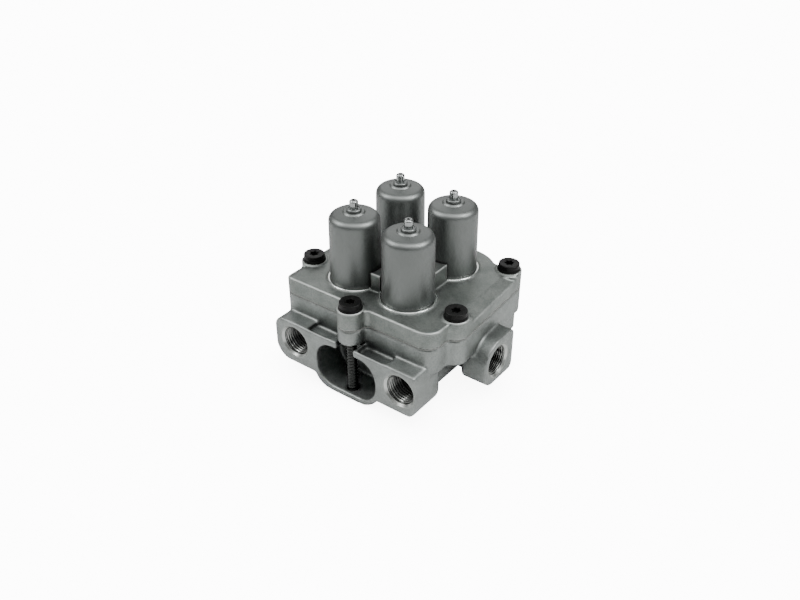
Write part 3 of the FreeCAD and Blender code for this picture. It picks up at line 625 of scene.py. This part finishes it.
def turned(name, outline):
    """A piece turned about the Z axis: its outline is drawn point by point, then spun."""
    bpy.ops.object.select_all(action="DESELECT")
    bpy.ops.mesh.primitive_plane_add(size=1 * MM, location=(0, 0, 0))
    piece = bpy.context.object
    piece.name = name
    bpy.ops.object.mode_set(mode="EDIT")
    bpy.ops.mesh.select_mode(type="VERT")
    bpy.ops.mesh.select_all(action="SELECT")
    bpy.ops.mesh.merge(type="CENTER")
    bpy.ops.transform.translate(value=(outline[0].x, 0, outline[0].y))
    for last, point in zip(outline, outline[1:]):
        step = (point.x - last.x, 0, point.y - last.y)
        bpy.ops.mesh.extrude_region_move(TRANSFORM_OT_translate={"value": step})
    bpy.ops.mesh.select_all(action="SELECT")
    bpy.ops.mesh.spin(
        steps=TURNED_STEPS, angle=math.tau, center=(0, 0, 0), axis=(0, 0, 1), use_auto_merge=False
    )
    bpy.ops.mesh.select_all(action="SELECT")
    bpy.ops.mesh.remove_doubles(threshold=WELD)
    bpy.ops.mesh.normals_make_consistent(inside=False)
    bpy.ops.object.mode_set(mode="OBJECT")
    bpy.ops.object.shade_smooth_by_angle(angle=TURNED_SHARP_FROM)
    return piece


def axis_of(node):
    """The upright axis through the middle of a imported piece."""
    low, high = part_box(node)
    return Vector(((low.x + high.x) / 2, (low.y + high.y) / 2, 0))


cover_cast = copied_solid("upper_housing", "cover_casting")
cast_skin(cover_cast, COVER_GRID, COVER_SMOOTHING, COVER_TRIANGLES)
# The cover is a shade darker than the body. Its edges are lighter, mostly a painted highlight and partly
# rubbed wear.
cover_metal = cast_aluminium("blasted_cast_aluminium_cover", "#838784", "#6F7471", "#DADDDA", "#2C2E2C", 1.0)
finished(cover_cast, "cover_casting", cover_metal)
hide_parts("upper_housing")

cover_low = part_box("upper_housing")[0].z
bead_pattern = turned("bead", rounded([
    (BEAD_INNER, cover_low + BEAD_FOOT, 0),
    (BEAD_OUTER, cover_low + BEAD_FOOT, 0),
    (BEAD_OUTER, cover_low + BEAD_TOP, BEAD_OUTER_ROUND),
    (BEAD_INNER, cover_low + BEAD_TOP, BEAD_INNER_ROUND),
    (BEAD_INNER, cover_low + BEAD_FOOT, 0),
]))
# Freshly turned aluminium, nearly bright.
bead_metal = plain_material("turned_aluminium_bead", "#D0D3D0", "#B6B9B6", 1.0, 1.0, 0.24, 0.02)
for circuit in CIRCUITS:
    bead = copied(bead_pattern, axis_of("lock_nut_" + circuit))
    finished(bead, "bore_bead_" + circuit, bead_metal)
bpy.data.objects.remove(bead_pattern)


# Six flange screws M8 with a six-lobed socket clamp the cover. They are forged steel, blackened and
# oiled. Five are short, and the long one crosses the open hollow at the front.
SCREW_SHANK = 4.0 * MM
SCREW_TIP_CHAMFER = 0.8 * MM
SCREW_FLANGE = 8.4 * MM
SCREW_FLANGE_EDGE = 0.8 * MM
SCREW_FLANGE_ROUND = 0.35 * MM
SCREW_FLANGE_TOP = 1.9 * MM
SCREW_HEAD = 7.6 * MM
SCREW_HEAD_HEIGHT = 5.0 * MM
SCREW_HEAD_FOOT = 7.8 * MM
SCREW_HEAD_FOOT_ROUND = 0.3 * MM
SCREW_HEAD_ROUND = 0.6 * MM
SOCKET_RIM = 3.9 * MM
SOCKET_LOBES = 6
SOCKET_MIDDLE = 2.95 * MM
SOCKET_LOBE = 0.4 * MM
SOCKET_CHAMFER = 0.3 * MM
SOCKET_DEPTH = 3.0 * MM
# A real M8 thread has a pitch of 1.25 mm, too fine to show here, so it is drawn twice as coarse.
SCREW_PITCH = 2.5 * MM
SCREW_ROWS_PER_PITCH = 6
SCREW_THREAD_DEPTH = 0.5 * MM
SCREW_THREAD_TOP = 50 * MM
SCREW_THREAD_START = 1 * MM
# Each short screw was tightened until its socket stood at another angle.
SCREW_TURN = math.radians(17)


def flange_screw(name, tip, seat):
    """A flange screw along the Z axis, from its tip to its head on a seat, with a lobed socket."""
    top = seat + SCREW_HEAD_HEIGHT
    screw = turned(name, rounded([
        (0, tip, 0),
        (SCREW_SHANK - SCREW_TIP_CHAMFER, tip, 0),
        (SCREW_SHANK, tip + SCREW_TIP_CHAMFER, 0),
        (SCREW_SHANK, seat, 0),
        (SCREW_FLANGE, seat, 0),
        (SCREW_FLANGE, seat + SCREW_FLANGE_EDGE, SCREW_FLANGE_ROUND),
        (SCREW_HEAD_FOOT, seat + SCREW_FLANGE_TOP, SCREW_HEAD_FOOT_ROUND),
        (SCREW_HEAD, top, SCREW_HEAD_ROUND),
        (SOCKET_RIM, top, 0),
    ]))
    only(screw)
    bpy.ops.object.mode_set(mode="EDIT")
    choose(screw, "EDGE", lambda e: e.is_boundary)
    bpy.ops.mesh.extrude_region_move()
    mesh = bmesh.from_edit_mesh(screw.data)
    for vertex in [v for v in mesh.verts if v.select]:
        angle = math.atan2(vertex.co.y, vertex.co.x)
        radius = SOCKET_MIDDLE + SOCKET_LOBE * math.cos(SOCKET_LOBES * angle)
        vertex.co = Vector((radius * math.cos(angle), radius * math.sin(angle), top - SOCKET_CHAMFER))
    bmesh.update_edit_mesh(screw.data)
    bpy.ops.mesh.extrude_region_move(
        TRANSFORM_OT_translate={"value": (0, 0, SOCKET_CHAMFER - SOCKET_DEPTH)}
    )
    bpy.ops.mesh.edge_face_add()
    bpy.ops.mesh.select_all(action="SELECT")
    bpy.ops.mesh.normals_make_consistent(inside=False)
    bpy.ops.object.mode_set(mode="OBJECT")
    bpy.ops.object.shade_smooth_by_angle(angle=TURNED_SHARP_FROM)
    return screw


def cut_thread(screw, tip, top):
    """Cuts a thread into a screw's shank, from just above its tip up to a height."""
    rows = round((top - tip) / SCREW_PITCH * SCREW_ROWS_PER_PITCH)
    only(screw)
    bpy.ops.object.mode_set(mode="EDIT")
    for height in (top, tip + SCREW_THREAD_START):
        bpy.ops.mesh.select_all(action="SELECT")
        bpy.ops.mesh.bisect(plane_co=(0, 0, height), plane_no=(0, 0, 1))
    choose(screw, "EDGE", lambda e: lengthwise(e) and all(
        tip < v.co.z < top + WELD and v.co.to_2d().length > SCREW_SHANK - WELD for v in e.verts
    ))
    bpy.ops.mesh.subdivide(number_cuts=rows)
    mesh = bmesh.from_edit_mesh(screw.data)
    for vertex in mesh.verts:
        radius = vertex.co.to_2d().length
        if tip + SCREW_THREAD_START / 2 < vertex.co.z < top - WELD and radius > SCREW_SHANK - WELD:
            angle = math.atan2(vertex.co.y, vertex.co.x)
            turns = vertex.co.z / SCREW_PITCH - angle / math.tau
            radius -= SCREW_THREAD_DEPTH * (1 - thread_ridge(turns))
            vertex.co.x = radius * math.cos(angle)
            vertex.co.y = radius * math.sin(angle)
    bmesh.update_edit_mesh(screw.data)
    bpy.ops.object.mode_set(mode="OBJECT")
    bpy.ops.object.shade_smooth_by_angle(angle=TURNED_SHARP_FROM)


# The oil film over the black oxide hardly shines.
black_steel = plain_material("blackened_steel", "#0B0B0B", "#040404", 0.7, 0.0, 0.40)
black_steel.node_tree.nodes["Principled BSDF"].inputs["Specular IOR Level"].default_value = 0.15
# Handling has worn the black off the long screw's shank, down to dark bare steel.
worn_steel = plain_material("worn_black_steel", "#3E3F3E", "#2A2B2A", 0.7, 1.0, 0.17)
long_low, long_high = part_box("long_housing_screw")
short_low, short_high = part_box("housing_screws")
screw_seat = long_high.z - SCREW_HEAD_HEIGHT
long_screw = flange_screw("long_screw", long_low.z, screw_seat)
cut_thread(long_screw, long_low.z, SCREW_THREAD_TOP)
long_screw.location = ((long_low.x + long_high.x) / 2, (long_low.y + long_high.y) / 2, 0)
finished(long_screw, "long_screw", black_steel)
long_screw.data.materials.append(worn_steel)
for face in long_screw.data.polygons:
    face.material_index = int(face.center.z < screw_seat)
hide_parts("long_housing_screw")

SIDE_SCREW_X = short_high.x - SCREW_FLANGE
SIDE_SCREW_Y = short_low.y + SCREW_FLANGE
REAR_SCREW_X = 58.5 * MM
REAR_SCREW_Y = 47.8 * MM
SHORT_SCREW_PLACES = {
    "front_left": (-SIDE_SCREW_X, SIDE_SCREW_Y),
    "front_right": (SIDE_SCREW_X, SIDE_SCREW_Y),
    "rear_right": (REAR_SCREW_X, REAR_SCREW_Y),
    "rear_left": (-REAR_SCREW_X, REAR_SCREW_Y),
    "back": (0, short_high.y - SCREW_FLANGE),
}
screw_pattern = flange_screw("short_screw", short_low.z, screw_seat)
for i, (name, (x, y)) in enumerate(SHORT_SCREW_PLACES.items()):
    screw = copied(screw_pattern, Vector((x, y, 0)), Matrix.Rotation(SCREW_TURN * i, 4, "Z"))
    finished(screw, "short_screw_" + name, black_steel)
    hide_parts("housing_screws")
bpy.data.objects.remove(screw_pattern)


# Each circuit's spring cap is pressed through the cover from below and held by its flange. It is
# turned from aluminium and vibration-finished, so it is smooth and satin.
CAP_INNER = 15.2 * MM
CAP_FLANGE = 20.9 * MM
CAP_FLANGE_HEIGHT = 4.0 * MM
CAP_BASE = 18.3 * MM
CAP_SHOULDER = 17.8 * MM
CAP_BASE_HEIGHT = 11.4 * MM
CAP_SHOULDER_DROP = 2.8 * MM
CAP_SHOULDER_ROUND = 5.0 * MM
CAP_FLANGE_ROUND = 0.4 * MM
CAP_COLLAR_FOOT = 7.9 * MM
CAP_COLLAR_FOOT_ROUND = 0.6 * MM
CAP_COLLAR = 7.0 * MM
CAP_COLLAR_HEIGHT = 1.05 * MM
CAP_COLLAR_ROUND = 0.35 * MM
CAP_HOLE = 4.05 * MM
CAP_HOLE_ROUND = 0.2 * MM
CAP_ROOF = 9.9 * MM
cap_low, cap_high = (corner.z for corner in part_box("spring_cap_front_left"))
cap_pattern = turned("cap", rounded([
    (CAP_INNER, cap_low, 0),
    (CAP_FLANGE, cap_low, 0),
    (CAP_FLANGE, cap_low + CAP_FLANGE_HEIGHT, CAP_FLANGE_ROUND),
    (CAP_BASE, cap_low + CAP_FLANGE_HEIGHT, 0),
    (CAP_BASE, cap_low + CAP_BASE_HEIGHT, 0),
    (CAP_SHOULDER, cap_high - CAP_SHOULDER_DROP, CAP_SHOULDER_ROUND),
    (CAP_COLLAR_FOOT, cap_high - CAP_COLLAR_HEIGHT, CAP_COLLAR_FOOT_ROUND),
    (CAP_COLLAR, cap_high, CAP_COLLAR_ROUND),
    (CAP_HOLE, cap_high, CAP_HOLE_ROUND),
    (CAP_HOLE, cap_high - CAP_ROOF, 0),
    (CAP_INNER, cap_high - CAP_ROOF, 0),
    (CAP_INNER, cap_low, 0),
]))
cap_metal = plain_material("tumbled_aluminium", "#707372", "#6B6E6C", 1.4, 1.0, 0.46, 0.003)
for circuit in CIRCUITS:
    cap = copied(cap_pattern, axis_of("lock_nut_" + circuit))
    finished(cap, "cap_" + circuit, cap_metal)
    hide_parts("spring_cap_" + circuit)
bpy.data.objects.remove(cap_pattern)


# A low round lock nut holds each adjusting screw. It is turned steel, with a zinc plate that has
# gone dull, and its hole runs through.
NUT_RADIUS = 5.2 * MM
NUT_CHAMFER = 0.3 * MM
NUT_TOP_ROUND = 0.9 * MM
NUT_HOLE = 4.05 * MM
NUT_HOLE_ROUND = 0.15 * MM
nut_low, nut_high = (corner.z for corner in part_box("lock_nut_front_left"))
nut_pattern = turned("nut", rounded([
    (NUT_HOLE, nut_low, 0),
    (NUT_RADIUS - NUT_CHAMFER, nut_low, 0),
    (NUT_RADIUS, nut_low + NUT_CHAMFER, 0),
    (NUT_RADIUS, nut_high, NUT_TOP_ROUND),
    (NUT_HOLE, nut_high, NUT_HOLE_ROUND),
    (NUT_HOLE, nut_low, 0),
]))
nut_zinc = plain_material("dulled_zinc_plate", "#7C7F7E", "#6A6D6C", 1.0, 1.0, 0.40, 0.005)
for circuit in CIRCUITS:
    nut = copied(nut_pattern, axis_of("lock_nut_" + circuit))
    finished(nut, "nut_" + circuit, nut_zinc)
    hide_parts("lock_nut_" + circuit)
bpy.data.objects.remove(nut_pattern)


# Each adjusting screw is turned from steel rod and zinc plated. Above the nut it ends in a slim
# drilled bullet, a little narrower at its neck, which the adjusting key grips. Only the bullet still
# shines.
ADJUSTER_RADIUS = 4.0 * MM
ADJUSTER_CHAMFER = 1.0 * MM
ADJUSTER_CROWN_DROP = 0.3 * MM
ADJUSTER_CROWN_ROUND = 0.2 * MM
ADJUSTER_NECK = 2.9 * MM
ADJUSTER_NECK_ROUND = 0.15 * MM
ADJUSTER_NECK_HEIGHT = 0.2 * MM
ADJUSTER_BULLET = 3.1 * MM
ADJUSTER_BULLET_START = 0.5 * MM
ADJUSTER_BULLET_ROUND = 0.2 * MM
ADJUSTER_TAPER_START = 5.2 * MM
ADJUSTER_TAPER_ROUND = 1.2 * MM
ADJUSTER_TIP = 2.1 * MM
ADJUSTER_TIP_ROUND = 0.7 * MM
ADJUSTER_HOLE = 1.3 * MM
ADJUSTER_HOLE_ROUND = 0.1 * MM
ADJUSTER_HOLE_DEPTH = 3 * MM
adjuster_low, adjuster_high = (corner.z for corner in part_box("adjusting_screw_front_left"))
adjuster_pattern = turned("adjuster", rounded([
    (0, adjuster_low, 0),
    (ADJUSTER_RADIUS - ADJUSTER_CHAMFER, adjuster_low, 0),
    (ADJUSTER_RADIUS, adjuster_low + ADJUSTER_CHAMFER, 0),
    (ADJUSTER_RADIUS, nut_high - ADJUSTER_CROWN_DROP, ADJUSTER_CROWN_ROUND),
    (ADJUSTER_NECK, nut_high - ADJUSTER_CROWN_DROP, ADJUSTER_NECK_ROUND),
    (ADJUSTER_NECK, nut_high + ADJUSTER_NECK_HEIGHT, 0),
    (ADJUSTER_BULLET, nut_high + ADJUSTER_BULLET_START, ADJUSTER_BULLET_ROUND),
    (ADJUSTER_BULLET, nut_high + ADJUSTER_TAPER_START, ADJUSTER_TAPER_ROUND),
    (ADJUSTER_TIP, adjuster_high, ADJUSTER_TIP_ROUND),
    (ADJUSTER_HOLE, adjuster_high, ADJUSTER_HOLE_ROUND),
    (ADJUSTER_HOLE, adjuster_high - ADJUSTER_HOLE_DEPTH, 0),
    (0, adjuster_high - ADJUSTER_HOLE_DEPTH, 0),
]))
zinc = plain_material("bright_zinc_plate", "#9A9D9C", "#868988", 1.0, 1.0, 0.16, 0.003)
for circuit in CIRCUITS:
    adjuster = copied(adjuster_pattern, axis_of("lock_nut_" + circuit))
    finished(adjuster, "adjuster_" + circuit, zinc, "adjuster_" + circuit)
    adjuster.data.materials.append(nut_zinc)
    for face in adjuster.data.polygons:
        face.material_index = int(face.center.z < nut_high + ADJUSTER_NECK_HEIGHT / 2)
    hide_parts("adjusting_screw_" + circuit)
bpy.data.objects.remove(adjuster_pattern)


# Inside, and unseen when the valve is whole: seal rings and diaphragms of black rubber, oiled
# springs, pressed steel plates and pistons, and turned brass seats and poppets. All keep their solids.
def each(piece):
    """The names of one kind of piece in all four circuits."""
    return [piece + "_" + circuit for circuit in CIRCUITS]


dressed(
    each("cap_seal") + each("diaphragm"),
    plain_material("nitrile_rubber", "#242424", "#161616", 1.0, 0.0, 0.6),
)
dressed(
    each("main_spring") + ["check_spring_front", "check_spring_rear"],
    plain_material("oiled_spring_steel", "#77787A", "#55565A", 1.5, 1.0, 0.34),
)
dressed(
    each("upper_spring_plate") + each("pressure_piston"),
    plain_material("bright_pressed_steel", "#A2A3A3", "#868888", 2.0, 1.0, 0.40),
)
dressed(
    each("valve_seat") + ["check_poppet_front", "check_poppet_rear"],
    plain_material("turned_brass", "#C9A45C", "#A98543", 1.2, 1.0, 0.32),
)
